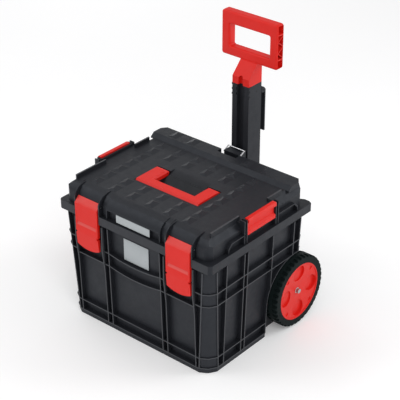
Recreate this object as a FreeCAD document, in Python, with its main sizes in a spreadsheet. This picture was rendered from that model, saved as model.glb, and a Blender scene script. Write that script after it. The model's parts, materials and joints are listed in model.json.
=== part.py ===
import FreeCAD, Part
import math
import os
import re

import Sketcher

# A rolling toolbox: a ribbed bin on two wheels, a hinged lid with two latches, a fold-down carrying
# handle and two side clips, and a pull handle that slides on a column behind the bin.
# Frame: +X to the right along the front, +Y to the back, +Z up, origin on the floor under the rim.

# Driving sizes in millimetres, one cell of the sheet each.
SIZES = {
    # Shared by many pieces
    "overrun": 5.0,
    "slip": 0.3,
    "pin_play": 0.05,
    "wall": 3.0,
    "pin_radius": 2.4,
    # Bin
    "rim_width": 450.0,
    "rim_depth": 352.0,
    "bin_height": 278.0,
    "rib_inset": 3.0,
    "rib_depth": 11.0,
    "bin_draft": 9.0,
    "corner_flare": 8.0,
    "rib": 2.6,
    "rib_stop": 4.0,
    "bin_corner": 22.0,
    "foot_height": 11.0,
    "foot_inset": 1.5,
    "post_sink": 3.0,
    "lip_height": 9.0,
    "lip_extra": 3.0,
    # Front ribs, from the latch bays and the bin's sides
    "double_rib_gap": 8.0,
    "double_rib_pitch": 15.0,
    "bay_rib_gap": 3.5,
    "corner_rib_inset": 22.0,
    # Side ribs, from the bin's front, back and middle
    "end_rib_inset": 24.0,
    "fore_rib_inset": 58.4,
    "mid_fore_rib_y": -54.0,
    "mid_aft_rib_y": -41.5,
    "aft_rib_y": 47.0,
    "rear_rib_inset": 48.0,
    # Ribs that run round the bin
    "base_rib_z": 41.0,
    "band_drop": 61.0,
    "band_pitch": 32.5,
    "smile_gap": 6.0,
    "smile_pitch": 34.0,
    "smile_rise": 8.0,
    # Cheeks and keepers of the latches, and the label between them
    "cheek_drop": 128.0,
    "cheek_bend_drop": 66.0,
    "keeper_drop": 23.0,
    "keeper_height": 9.0,
    "keeper_depth": 5.0,
    "label_width": 74.0,
    "label_height": 55.0,
    "label_drop": 15.0,
    "label_thick": 0.6,
    # Wheels and axle
    "axle_inset": 43.0,
    "wheel_radius": 89.0,
    "wheel_proud": 12.0,
    "wheel_width": 35.0,
    "wheel_gap": 12.0,
    "well_gap": 6.0,
    "tyre_height": 18.0,
    "tyre_round": 4.0,
    "tread_depth": 4.5,
    "tread_radius": 4.4,
    "tread_reach": 13.0,
    "hub_rim": 3.0,
    "hub_sink": 2.0,
    "dish_depth": 5.0,
    "hub_web": 7.0,
    "pocket_radius": 20.0,
    "pocket_sink": 2.0,
    "dimple_radius": 5.0,
    "dimple_depth": 2.4,
    "boss_radius": 16.0,
    "bush_wall": 3.0,
    "axle_radius": 4.0,
    "cap_radius": 5.6,
    "cap_length": 6.0,
    "spacer_radius": 9.0,
    "hump_width": 28.0,
    "hump_rise": 14.0,
    # Lid
    "lid_gap": 1.0,
    "rim_height": 21.0,
    "rim_corner": 8.0,
    "deck_rise": 50.0,
    "lid_side_inset": 13.0,
    "lid_front_inset": 10.5,
    "lid_rear_inset": 9.0,
    "lid_corner": 14.0,
    "side_chamfer": 16.0,
    "front_chamfer": 23.0,
    "front_wall": 8.0,
    "rim_seat": 8.0,
    "lobe_width": 31.0,
    "lobe_reach": 9.0,
    "lobe_bevel": 9.0,
    "seal_width": 3.0,
    "seal_rise": 2.0,
    "seal_inset": 1.5,
    # Raised bar across the back of the lid, and the notch in it for the bail
    "bar_height": 9.0,
    "bar_depth": 49.0,
    "bar_slope": 11.0,
    "bar_rear_inset": 15.0,
    "bar_side_inset": 5.0,
    "bar_bend": 13.0,
    "notch_gap": 2.5,
    "notch_depth": 16.0,
    "notch_rise": 10.0,
    # Rails along the sides of the lid
    "rail_inset": 12.5,
    "rail_thick": 4.0,
    "rail_rise": 9.0,
    "rail_fore_inset": 33.0,
    "rail_gap": 17.0,
    # Badge bay in the middle of the lid's front
    "bay_gap": 20.5,
    "bay_reach": 6.0,
    "bay_depth": 8.0,
    "bay_margin": 4.0,
    "badge_width": 99.0,
    "badge_height": 19.0,
    "badge_rise": 3.0,
    "badge_thick": 1.2,
    # Hinges at the back
    "hinge_inset": 115.0,
    "hinge_offset": 11.0,
    "hinge_drop": 9.0,
    "ear_radius": 8.0,
    "ear_thick": 9.0,
    "knuckle_width": 22.0,
    "ear_drop": 42.0,
    # Latches
    "latch_inset": 89.0,
    "latch_width": 68.0,
    "latch_drop": 23.0,
    "latch_length": 130.0,
    "latch_proud": 3.0,
    "latch_depth": 13.0,
    "latch_thick": 8.0,
    "latch_belly": 3.5,
    "latch_sag": 8.5,
    "latch_pin_offset": 3.0,
    "latch_pin_drop": 6.5,
    "latch_pin_radius": 1.7,
    "latch_swing": 7.5,
    "latch_edge": 1.5,
    "pad_inset": 4.0,
    "pad_depth": 3.4,
    "pad_dish": 0.6,
    "pad_drop": 16.0,
    "pad_height": 54.5,
    "pad_ledge": 10.0,
    "nick_rise": 42.0,
    "nick_height": 5.0,
    "nick_depth": 3.5,
    "cheek_gap": 1.5,
    "cheek_thick": 3.0,
    "slot_width": 3.0,
    "slot_depth": 7.0,
    # Carrying handle in the lid
    "handle_half": 92.0,
    "handle_length": 77.5,
    "handle_back_y": 17.0,
    "handle_bar": 24.0,
    "handle_arm": 33.0,
    "handle_thick": 13.0,
    "handle_proud": 2.5,
    "handle_gap": 2.4,
    "handle_bevel": 4.0,
    "well_floor": 24.0,
    "well_flat": 14.0,
    "well_run": 16.0,
    # Side clips, the posts beside them and the ledges from the posts
    "clip_y": 2.0,
    "clip_length": 97.0,
    "clip_drop": 31.0,
    "clip_rise": 9.0,
    "clip_gap": 1.0,
    "clip_thick": 11.0,
    "clip_web": 4.0,
    "clip_ridge": 9.0,
    "clip_foot": 8.0,
    "clip_lip": 6.0,
    "clip_pin_inset": 4.5,
    "clip_pin_rise": 3.4,
    "clip_pin_radius": 1.6,
    "post_gap": 1.0,
    "post_rib": 3.0,
    "post_slot": 5.0,
    "post_reach": 10.0,
    "post_drop": 2.0,
    "fence_reach": 9.0,
    "fence_thick": 2.6,
    "fence_rise": 23.0,
    "fence_bend": 11.0,
    "fence_fore_inset": 65.0,
    "fence_aft_inset": 41.0,
    # Column and the guide that it slides in
    "column_width": 48.6,
    "column_depth": 47.0,
    "column_gap": 23.7,
    "column_rise": 160.0,
    "column_engage": 79.7,
    "groove_width": 20.0,
    "groove_depth": 10.0,
    "foot_plug": 20.0,
    "foot_flange": 8.0,
    "tooth_reach": 1.4,
    "tooth_depth": 6.0,
    "tooth_height": 5.0,
    "tooth_pitch": 12.5,
    "notch_width": 2.4,
    "notch_sink": 3.0,
    "notch_height": 8.0,
    "guide_wall": 3.2,
    "guide_low_z": 34.0,
    "guide_drop": 5.0,
    "guide_slot": 38.0,
    "tab_rise": 35.0,
    "guide_foot_half": 46.0,
    "guide_foot_plate": 6.0,
    "guide_foot_height": 40.0,
    "guide_foot_low_z": 70.0,
    "guide_foot_drop": 53.0,
    "guide_neck_half": 20.0,
    "screw_x": 36.0,
    "screw_radius": 2.2,
    "screw_head_radius": 4.6,
    "screw_head": 3.0,
    # Grip
    "neck_rise": 18.0,
    "neck_sink": 13.0,
    "arch_width": 13.0,
    "arch_height": 22.0,
    "arch_depth": 8.0,
    "tongue_length": 40.0,
    "grip_rise": 48.0,
    "grip_setback": 28.3,
    "grip_half": 81.0,
    "grip_height": 109.0,
    "grip_depth": 24.0,
    "grip_bar": 23.5,
    "grip_top_bar": 31.0,
    "grip_corner": 7.0,
    "hole_corner": 4.0,
    "grip_round": 5.0,
    "grip_pocket": 13.0,
    "grip_skin": 3.0,
    "end_pocket": 20.0,
    "lattice": 2.0,
    "grip_pin_drop": 19.0,
    # Lever behind the column
    "bracket_half": 8.0,
    "bracket_reach": 21.0,
    "bracket_drop": 18.0,
    "bracket_height": 23.0,
    "lever_half": 18.0,
    "lever_length": 108.0,
    "lever_pin_offset": 15.8,
    "lever_pin_drop": 11.0,
    "lever_plate": 4.0,
    "lever_eye": 7.0,
    # Wire bail in front of the column, and its block
    "wire_radius": 1.5,
    "bail_half": 24.0,
    "bail_offset": 5.0,
    "bail_rise": 3.0,
    "bail_run": 16.0,
    "bail_climb": 8.0,
    "bail_bore": 9.0,
    "bail_side_gap": 0.8,
    "block_lead": 3.2,
    "block_gap": 2.5,
    "block_cover": 4.0,
}

# Shares of other sizes.
SHARES = {
    "facet_share": 0.38,
    "lobe_bevel_share": 0.45,
    "ramp_turn_share": 0.3,
}

# Sizes worked out from the driving ones.
FORMULAS = {
    "half_width": "rim_width / 2",
    "half_depth": "rim_depth / 2",
    "bin_half_x": "half_width - rib_inset",
    "bin_half_y": "half_depth - rib_inset",
    "panel_half_x": "bin_half_x - rib_depth",
    "panel_half_y": "bin_half_y - rib_depth",
    "panel_corner": "bin_corner - rib_depth",
    "cavity_half_x": "panel_half_x - wall",
    "cavity_half_y": "panel_half_y - wall",
    "cavity_corner": "panel_corner - wall",
    "rib_top_z": "bin_height - rib_stop",
    "rim_low_z": "bin_height + lid_gap",
    "rim_top_z": "rim_low_z + rim_height",
    "deck_z": "rim_top_z + deck_rise",
    "bar_top_z": "deck_z + bar_height",
    "lid_half_x": "half_width - lid_side_inset",
    "lid_front_y": "lid_front_inset - half_depth",
    "lid_rear_y": "half_depth - lid_rear_inset",
    # Latches and what stands beside them
    "latch_x": "half_width - latch_inset",
    "latch_half": "latch_width / 2",
    "latch_top_z": "deck_z - latch_drop",
    "latch_low_z": "latch_top_z - latch_length",
    "latch_front_y": "-half_depth - latch_proud",
    "latch_back_y": "latch_front_y + latch_depth",
    "latch_pin_y": "lid_front_y - latch_pin_offset",
    "latch_pin_z": "latch_top_z - latch_pin_drop",
    "latch_bow": "(latch_half * latch_half + latch_sag * latch_sag) / (2 * latch_sag)",
    "pad_high_z": "latch_top_z - pad_drop",
    "pad_low_z": "pad_high_z - pad_height",
    "nick_z": "latch_low_z + nick_rise",
    "bay_inner_x": "latch_x - latch_half - cheek_gap",
    "bay_outer_x": "latch_x + latch_half + cheek_gap",
    "cheek_front_y": "-half_depth",
    "cheek_low_z": "bin_height - cheek_drop",
    "cheek_bend_z": "bin_height - cheek_bend_drop",
    "cheek_low_y": "bin_draft * cheek_drop / bin_height - bin_half_y",
    "keeper_z": "bin_height - keeper_drop",
    # Ribs and label
    "double_rib_x": "bay_inner_x - double_rib_gap",
    "panel_rib_x": "double_rib_x - double_rib_pitch",
    "bay_rib_x": "bay_outer_x + bay_rib_gap",
    "corner_rib_x": "bin_half_x - corner_rib_inset",
    "corner_rib_y": "bin_half_y - end_rib_inset",
    "corner_lean": "bin_draft + corner_flare",
    "fore_rib_y": "fore_rib_inset - bin_half_y",
    "rear_rib_y": "bin_half_y - rear_rib_inset",
    "band_high_z": "bin_height - band_drop",
    "band_low_z": "band_high_z - band_pitch",
    "label_low_z": "bin_height - label_drop - label_height",
    "smile_high_z": "label_low_z - smile_gap",
    "smile_low_z": "smile_high_z - smile_pitch",
    "smile_radius": "(panel_rib_x * panel_rib_x + smile_rise * smile_rise) / (2 * smile_rise)",
    # Wheels
    "wheel_y": "half_depth - axle_inset",
    "axle_z": "wheel_radius",
    "wheel_face_x": "half_width + wheel_proud",
    "wheel_inner_x": "wheel_face_x - wheel_width",
    "well_x": "wheel_inner_x - wheel_gap",
    "well_radius": "wheel_radius + well_gap",
    "hub_radius": "wheel_radius - tyre_height",
    "dish_radius": "hub_radius - hub_rim",
    "dish_x": "wheel_face_x - hub_sink",
    "hub_face_x": "dish_x - dish_depth",
    "pocket_circle": "dish_radius - pocket_radius - hub_sink / 2",
    "dimple_circle": "dish_radius - dimple_radius - hub_sink",
    "bush_radius": "axle_radius + pin_play + bush_wall",
    # Lid details
    "lobe_inner_x": "half_width - lobe_width",
    "bar_front_y": "lid_rear_y - bar_depth",
    "bar_bend_y": "lid_rear_y - bar_bend",
    "bar_half_rear": "lid_half_x - bar_rear_inset",
    "bar_half_front": "lid_half_x - bar_side_inset",
    "notch_half": "bail_half + wire_radius + notch_gap",
    "notch_low_z": "rim_top_z + notch_rise",
    "rail_x": "lid_half_x - rail_inset",
    "rail_fore_y": "rail_fore_inset - half_depth",
    "rail_aft_y": "bar_front_y - rail_gap",
    "badge_low_z": "rim_top_z + badge_rise",
    "bay_half": "bay_inner_x - bay_gap",
    "bay_front_y": "lid_front_y - bay_reach",
    "bay_top_z": "badge_low_z + badge_height + bay_margin",
    "hinge_y": "lid_rear_y + hinge_offset",
    "hinge_z": "deck_z - hinge_drop",
    "ear_inner_x": "half_width - hinge_inset",
    "ear_outer_x": "ear_inner_x + 2 * ear_thick + knuckle_width",
    "ear_root_z": "bin_height - ear_drop",
    "handle_front_y": "handle_back_y - handle_length",
    "handle_top_z": "deck_z + handle_proud",
    "handle_axis_z": "handle_top_z - handle_thick / 2",
    "handle_axis_y": "handle_back_y - handle_thick / 2",
    "handle_inner": "handle_half - handle_arm",
    "clip_low_z": "deck_z - clip_drop",
    "clip_top_z": "deck_z + clip_rise",
    "clip_inner_x": "lid_half_x + clip_gap",
    "clip_outer_x": "clip_inner_x + clip_thick",
    "clip_pin_x": "clip_inner_x + clip_pin_inset",
    "clip_pin_z": "clip_low_z + clip_pin_rise",
    "post_start": "clip_length / 2 + post_gap",
    "post_end": "post_start + 2 * post_rib + post_slot",
    "post_x": "lid_half_x + post_reach",
    "post_top_z": "clip_top_z - post_drop",
    "fence_x": "lid_half_x + fence_reach",
    "fence_top_z": "rim_top_z + fence_rise",
    "fence_fore_y": "fence_fore_inset - half_depth",
    "fence_aft_y": "half_depth - fence_aft_inset",
    # Column, guide, grip, lever and bail
    "column_half": "column_width / 2",
    "column_front_y": "half_depth + column_gap",
    "column_rear_y": "column_front_y + column_depth",
    "column_top_z": "bar_top_z + column_rise",
    "guide_high_z": "rim_top_z - guide_drop",
    "column_low_z": "guide_high_z - column_engage",
    "bore_half": "column_half - wall",
    "bore_front_y": "column_front_y + groove_depth + wall",
    "bore_rear_y": "column_rear_y - wall",
    "bore_middle_y": "(bore_front_y + bore_rear_y) / 2",
    "guide_half": "column_half + slip + guide_wall",
    "guide_front_y": "column_front_y - slip - guide_wall",
    "guide_rear_y": "column_rear_y + slip + guide_wall",
    "guide_foot_high_z": "bin_height - guide_foot_drop",
    "tab_top_z": "rim_top_z + tab_rise",
    "neck_bend_z": "column_top_z + neck_rise",
    "grip_low_z": "column_top_z + grip_rise",
    "grip_top_z": "grip_low_z + grip_height",
    "neck_top_z": "grip_low_z + neck_sink",
    "grip_front_y": "column_front_y + grip_setback",
    "grip_rear_y": "grip_front_y + grip_depth",
    "pocket_front_y": "grip_front_y + grip_skin",
    "pocket_rear_y": "grip_rear_y - grip_skin",
    "lattice_low_z": "grip_low_z + 2 * grip_skin + end_pocket",
    "lattice_high_z": "grip_top_z - 2 * grip_skin - end_pocket",
    "grip_pin_z": "column_top_z - grip_pin_drop",
    "bracket_high_z": "column_top_z - bracket_drop",
    "bracket_low_z": "bracket_high_z - bracket_height",
    "lever_pin_y": "column_rear_y + lever_pin_offset",
    "lever_pin_z": "bracket_high_z - lever_pin_drop",
    "lever_low_z": "lever_pin_z - lever_length",
    "bail_pin_y": "lid_rear_y + bail_offset",
    "bail_pin_z": "deck_z + bail_rise",
    "bail_bar_y": "bail_pin_y + bail_run",
    "bail_bar_z": "bail_pin_z + bail_climb",
    "block_half": "bail_half - wire_radius - bail_side_gap",
    "block_front_y": "bail_pin_y - block_lead",
    "block_low_z": "rim_top_z + block_gap",
    "block_top_z": "bail_pin_z + block_cover",
}

LUG_COUNT = 40
POCKET_COUNT = 4
TOOTH_COUNT = 3
LATTICE_COUNT = 4
HALF_STEP_SHARE = 0.5
PARALLEL_SHARE = 0.999
# A constraint or turn holds this until its formula sets it.
UNSET = 1.0
BOTH_SIDES = (1, -1)

AXES = ("X", "Y", "Z")
ALONG = {
    "X": FreeCAD.Vector(1, 0, 0),
    "Y": FreeCAD.Vector(0, 1, 0),
    "Z": FreeCAD.Vector(0, 0, 1),
}
# Turns that stand a flat outline square to an axis: its own x and y then run along the other two axes.
OUTLINE_TURN = {
    "X": FreeCAD.Rotation(ALONG["Y"], ALONG["Z"], ALONG["X"], "XYZ"),
    "Y": FreeCAD.Rotation(ALONG["X"], ALONG["Z"], -ALONG["Y"], "XYZ"),
    "Z": FreeCAD.Rotation(),
}
ROD_TURN = {axis: FreeCAD.Rotation(ALONG["Z"], ALONG[axis]) for axis in AXES}

doc = FreeCAD.newDocument("RollingToolbox")
sheet = doc.addObject("Spreadsheet::Sheet", "Sizes")
nodes = []


def fill_sheet():
    """Write every size into the sheet, each in its own cell with its name as alias."""
    rows = [(name, str(value)) for name, value in {**SIZES, **SHARES}.items()]
    rows += [(name, "=" + text) for name, text in FORMULAS.items()]
    for number, (name, text) in enumerate(rows, 1):
        sheet.set(f"A{number}", name.replace("_", " "))
        sheet.set(f"B{number}", text)
        sheet.setAlias(f"B{number}", name)
    doc.recompute()


def formula(text):
    """Point each size that a formula names at its cell in the sheet."""
    known = {*SIZES, *SHARES, *FORMULAS}
    return re.sub(r"[a-z]\w*", lambda word: "Sizes." + word[0] if word[0] in known else word[0], text)


def bind(item, prop, text):
    item.setExpression(prop, formula(text))


def place(item, x, y, z):
    for axis, text in (("x", x), ("y", y), ("z", z)):
        bind(item, f"Placement.Base.{axis}", text)


def box(name, xs, ys, zs):
    """A block between two places along each axis."""
    solid = doc.addObject("Part::Box", name)
    for prop, (low, high) in (("Length", xs), ("Width", ys), ("Height", zs)):
        bind(solid, prop, f"({high}) - ({low})")
    place(solid, xs[0], ys[0], zs[0])
    return solid


def sided(side, low, high):
    """The span from low to high on the right, or its mirror image on the left."""
    return (low, high) if side > 0 else (f"-({high})", f"-({low})")


def about(centre, half):
    """The span that reaches half to each side of a centre."""
    return (f"({centre}) - ({half})", f"({centre}) + ({half})")


def beyond(span):
    """A span with an overrun at each end, for cuts."""
    return (f"({span[0]}) - overrun", f"({span[1]}) + overrun")


def lie(solid, axis, span, centre):
    """Turn a round solid to an axis, with its centre given on the other two axes in order."""
    solid.Placement = FreeCAD.Placement(FreeCAD.Vector(), ROD_TURN[axis])
    bind(solid, "Height", f"({span[1]}) - ({span[0]})")
    spot = list(centre)
    spot.insert(AXES.index(axis), span[0])
    place(solid, *spot)
    return solid


def rod(name, axis, radius, span, centre):
    """A round bar along an axis."""
    solid = doc.addObject("Part::Cylinder", name)
    bind(solid, "Radius", radius)
    return lie(solid, axis, span, centre)


def cone(name, axis, radii, span, centre):
    """A round bar along an axis whose radius changes from its start to its end."""
    solid = doc.addObject("Part::Cone", name)
    bind(solid, "Radius1", radii[0])
    bind(solid, "Radius2", radii[1])
    return lie(solid, axis, span, centre)


def ball(name, radius, centre):
    solid = doc.addObject("Part::Sphere", name)
    bind(solid, "Radius", radius)
    place(solid, *centre)
    return solid


def outlined(name, axis, points, start):
    """A straight-sided outline across an axis, given on the other two axes in order."""
    sketch = doc.addObject("Sketcher::SketchObject", name + "_outline")
    sketch.Placement = FreeCAD.Placement(FreeCAD.Vector(), OUTLINE_TURN[axis])
    count = len(points)
    turns = [2 * math.pi * number / count for number in range(count)]
    starts = [FreeCAD.Vector(math.cos(turn), math.sin(turn), 0) for turn in turns]
    for number in range(count):
        sketch.addGeometry(Part.LineSegment(starts[number], starts[(number + 1) % count]))
    for number in range(count):
        sketch.addConstraint(Sketcher.Constraint("Coincident", number, 2, (number + 1) % count, 1))
    for number, corner in enumerate(points):
        for kind, text in zip(("DistanceX", "DistanceY"), corner):
            index = sketch.addConstraint(Sketcher.Constraint(kind, number, 1, UNSET))
            bind(sketch, f"Constraints[{index}]", text)
    bind(sketch, f"Placement.Base.{axis.lower()}", start)
    return sketch


def prism(name, axis, points, span):
    """A straight-sided outline run along an axis."""
    solid = doc.addObject("Part::Extrusion", name)
    solid.Base = outlined(name, axis, points, span[0])
    solid.DirMode = "Custom"
    solid.Dir = ALONG[axis]
    solid.Solid = True
    bind(solid, "LengthFwd", f"({span[1]}) - ({span[0]})")
    return solid


def soft_plan(half, front, rear, corner):
    """A rectangle in plan with two flats round each corner."""
    facet = f"({corner}) * facet_share"
    right = [
        (f"{half} - ({corner})", front),
        (f"{half} - {facet}", f"{front} + {facet}"),
        (half, f"{front} + {corner}"),
        (half, f"{rear} - ({corner})"),
        (f"{half} - {facet}", f"{rear} - {facet}"),
        (f"{half} - ({corner})", rear),
    ]
    return right + [(f"-({x})", y) for x, y in reversed(right)]


def plan_of(kind, grow="0", depth="0"):
    """The bin's plan at its ribs, panel or cavity, grown outwards, at a depth below its top edge."""
    draw = f"bin_draft * ({depth}) / bin_height"
    corner = f"({kind}_corner + {grow} + corner_flare * ({depth}) / bin_height)"
    front = f"-({kind}_half_y + {grow} - {draw})"
    return soft_plan(f"({kind}_half_x + {grow} - {draw})", front, f"({kind}_half_y + {grow})", corner)


def drafted(name, kind, span, grow="0"):
    """A form of the bin between two heights, which leans outwards to its top at the front and sides."""
    solid = doc.addObject("Part::Loft", name)
    solid.Sections = [outlined(name, "Z", plan_of(kind, grow, f"bin_height - ({height})"), height)
                      for height in span]
    solid.Solid = True
    solid.Ruled = True
    return solid


def fuse(name, solids):
    whole = doc.addObject("Part::MultiFuse", name)
    whole.Shapes = solids
    whole.Refine = True
    return whole


def common(name, solids):
    shared = doc.addObject("Part::MultiCommon", name)
    shared.Shapes = solids
    return shared


def cut(name, base, tools):
    left = doc.addObject("Part::Cut", name)
    left.Base = base
    left.Tool = tools[0] if len(tools) == 1 else fuse(name + "_tools", tools)
    left.Refine = True
    return left


def rounded(name, base, radius, picks):
    """Round the edges that a test picks, with a radius from the sheet."""
    doc.recompute()
    solid = doc.addObject("Part::Fillet", name)
    solid.Base = base
    size = getattr(sheet, radius)
    solid.Edges = [(number, size, size) for number, edge in enumerate(base.Shape.Edges, 1) if picks(edge)]
    return solid


def mirrored(name, solid):
    image = doc.addObject("Part::Mirroring", name)
    image.Source = solid
    image.Normal = ALONG["X"]
    return image


def group(name, solids):
    """Like pieces that share one node as separate solids."""
    whole = doc.addObject("Part::Compound", name)
    whole.Links = solids
    return whole


def keep(solid, label):
    """Name a finished sub-part."""
    solid.Label = label
    nodes.append(solid)


def keep_pair(solid, label):
    """Name a finished sub-part on the right, and its mirror image on the left."""
    keep(solid, label + "_right")
    keep(mirrored(label + "_left", solid), label + "_left")


def runs(edge, axis):
    """Whether an edge is a straight line along an axis."""
    if edge.Curve.TypeId != "Part::GeomLine":
        return False
    return abs(edge.tangentAt(edge.FirstParameter).dot(ALONG[axis])) > PARALLEL_SHARE


# Bin

def bin_ribs():
    """The thin ribs that stand on the bin's panels, cut to the bin's outer envelope."""
    wide = about("0", "bin_half_x + overrun")
    deep = about("0", "bin_half_y + overrun")
    tall = ("0", "bin_height")
    fore = ("-bin_half_y - overrun", "0")
    slabs = [box("base_flange", wide, deep, ("foot_height", "foot_height + rib"))]
    for side in BOTH_SIDES:
        for place_x in ("panel_rib_x", "double_rib_x", "bay_rib_x"):
            slabs.append(box("upright_rib", about(f"{side} * {place_x}", "rib / 2"), deep, tall))
        slabs.append(leaning_rib("Y", f"{side} * corner_rib_x", f"{side} * corner_lean", deep))
        slabs.append(wheel_well(side, "rib"))
    slabs.append(leaning_rib("X", "-corner_rib_y", "-corner_lean", wide))
    slabs.append(leaning_rib("X", "corner_rib_y", "corner_flare", wide))
    for side in BOTH_SIDES:
        for level, reach in (("smile_low_z", "bay_rib_x"), ("smile_high_z", "double_rib_x")):
            across = sided(side, "panel_rib_x", reach)
            slabs.append(box("bay_band", across, fore, about(f"{level} + smile_rise", "rib / 2")))
    for place_y in ("fore_rib_y", "mid_fore_rib_y", "mid_aft_rib_y", "aft_rib_y", "rear_rib_y"):
        slabs.append(box("side_rib", wide, about(place_y, "rib / 2"), tall))
    slabs.append(box("base_band", wide, deep, about("base_rib_z", "rib / 2")))
    for level in ("band_low_z", "band_high_z"):
        band = box("round_band", wide, deep, about(level, "rib / 2"))
        front = box("front_gap", about("0", "bay_rib_x"), fore, about(level, "rib"))
        slabs.append(cut("side_band", band, [front]))
    for level in ("smile_low_z", "smile_high_z"):
        slabs.append(smile_rib(level, fore))
    envelope = drafted("bin_envelope", "bin", ("foot_height", "rib_top_z"))
    return common("bin_ribs", [envelope, fuse("rib_slabs", slabs)])


def leaning_rib(axis, high, lean, span):
    """A rib by a corner of the bin, which comes in by a lean at its lower end."""
    low = f"{high} - ({lean})"
    outline = [(f"{low} - rib / 2", "0"), (f"{low} + rib / 2", "0"),
               (f"{high} + rib / 2", "bin_height"), (f"{high} - rib / 2", "bin_height")]
    return prism("corner_rib", axis, outline, span)


def corner_posts():
    """The bin's corners, which stand out nearly to the ribs between the two ribs beside each of them."""
    form = drafted("post_form", "bin", ("foot_height", "rib_top_z"), "(-post_sink)")
    posts = []
    for side in BOTH_SIDES:
        for end, lean in ((1, "corner_flare"), (-1, "corner_lean")):
            edges = (("Y", f"{side} * corner_rib_x", f"{side} * corner_lean", f"{side} * rim_width"),
                     ("X", f"{end} * corner_rib_y", f"{end} * {lean}", f"{end} * rim_depth"))
            spans = (sided(end, "0", "rim_depth"), sided(side, "0", "rim_width"))
            limits = []
            for (axis, high, low, far), span in zip(edges, spans):
                outline = [(f"{high} - ({low})", "0"), (far, "0"), (far, "bin_height"), (high, "bin_height")]
                limits.append(prism("post_limit", axis, outline, span))
            posts.append(common("corner_post", [form, *limits]))
    return posts


def smile_rib(level, fore):
    """A rib across the middle panel that sags between the two ribs beside it."""
    centre = ("0", f"{level} + smile_radius")
    outer = rod("smile_outer", "Y", "smile_radius + rib / 2", fore, centre)
    inner = rod("smile_inner", "Y", "smile_radius - rib / 2", fore, centre)
    window = box("smile_window", about("0", "panel_rib_x"), fore,
                 (f"{level} - rib", f"{level} + 2 * smile_rise"))
    return common("smile_rib", [cut("smile_ring", outer, [inner]), window])


def wheel_well(side, grow):
    """The space for a wheel: an arch over it, open below and to the back."""
    across = sided(side, f"well_x - ({grow})", "rim_width")
    reach = f"well_radius + {grow}"
    arch = rod("well_arch", "X", reach, across, ("wheel_y", "axle_z"))
    below = box("well_below", across, (f"wheel_y - ({reach})", "rim_depth"), ("-overrun", "axle_z"))
    behind = box("well_behind", across, ("wheel_y", "rim_depth"), ("-overrun", f"axle_z + {reach}"))
    return fuse("wheel_well", [arch, below, behind])


def hinge_ears():
    """Upright ears behind the lid that hold the hinge pins, two to each hinge."""
    outline = [
        ("cavity_half_y", "ear_root_z"),
        ("panel_half_y", "ear_root_z"),
        ("hinge_y + ear_radius", "ear_root_z + hinge_y + ear_radius - panel_half_y"),
        ("hinge_y + ear_radius", "hinge_z"),
        ("hinge_y - ear_radius", "hinge_z"),
        ("hinge_y - ear_radius", "rib_top_z"),
        ("cavity_half_y", "rib_top_z"),
    ]
    ears = []
    for side in BOTH_SIDES:
        for start in ("ear_inner_x", "ear_inner_x + ear_thick + knuckle_width"):
            across = sided(side, start, f"{start} + ear_thick")
            ears.append(prism("hinge_ear", "X", outline, across))
            ears.append(rod("hinge_eye", "X", "ear_radius", across, ("hinge_y", "hinge_z")))
    return ears


def latch_cheeks():
    """Deeper ribs beside each latch, which sweep back to the other ribs below it, and the keepers."""
    outline = [
        ("bin_draft - cavity_half_y", "cheek_low_z"),
        ("cheek_low_y", "cheek_low_z"),
        ("cheek_front_y", "cheek_bend_z"),
        ("cheek_front_y", "rib_top_z"),
        ("bin_draft - cavity_half_y", "rib_top_z"),
    ]
    cheeks = []
    for side in BOTH_SIDES:
        for place_x in ("double_rib_x", "bay_rib_x"):
            cheeks.append(prism("bin_cheek", "X", outline, about(f"{side} * {place_x}", "rib / 2")))
        cheeks.append(box("latch_keeper", about(f"{side} * latch_x", "latch_half - pad_inset"),
                          ("-panel_half_y - keeper_depth", "-cavity_half_y"),
                          ("keeper_z", "keeper_z + keeper_height")))
    return cheeks


def foot_levels():
    """The spans up the back of the bin where the guide is screwed on."""
    return [(level, f"{level} + guide_foot_height") for level in ("guide_foot_low_z", "guide_foot_high_z")]


def screw_spots():
    """Each guide screw's place across and up, as formulas."""
    heights = [f"{low} + guide_foot_height / 2" for low, high in foot_levels()]
    return [(f"{side} * screw_x", height) for side in BOTH_SIDES for height in heights]


def bin_outside():
    walls = drafted("bin_walls", "panel", ("foot_height", "bin_height"))
    foot = prism("bin_foot", "Z", plan_of("bin", "(-foot_inset)", "bin_height"), ("0", "foot_height"))
    seat = box("label_seat", about("0", "label_width / 2"), ("-panel_half_y", "bin_draft - cavity_half_y"),
               ("label_low_z", "label_low_z + label_height"))
    lip = prism("bin_lip", "Z", plan_of("panel", "lip_extra"), ("bin_height - lip_height", "bin_height"))
    pads = [box("guide_pad", about("0", "guide_foot_half"), ("cavity_half_y", "bin_half_y"), level)
            for level in foot_levels()]
    return fuse("bin_outside", [walls, foot, seat, lip, bin_ribs(), *corner_posts(), *pads, *hinge_ears(),
                               *latch_cheeks()])


def bin_cavity():
    """The inside of the bin, which leaves a hump over the axle and a wall round each wheel well."""
    upper = drafted("upper_cavity", "cavity", ("foot_height + wall", "bin_height + overrun"))
    lower = prism("lower_cavity", "Z", plan_of("cavity", "(-wall)", "bin_height"),
                  ("wall", "foot_height + wall + overrun"))
    hump = box("axle_hump", about("0", "well_x"), about("wheel_y", "hump_width / 2"),
               ("0", "axle_z + hump_rise"))
    spared = [hump, *[wheel_well(side, "wall") for side in BOTH_SIDES]]
    return cut("bin_cavity", fuse("bin_cavities", [upper, lower]), spared)


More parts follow.
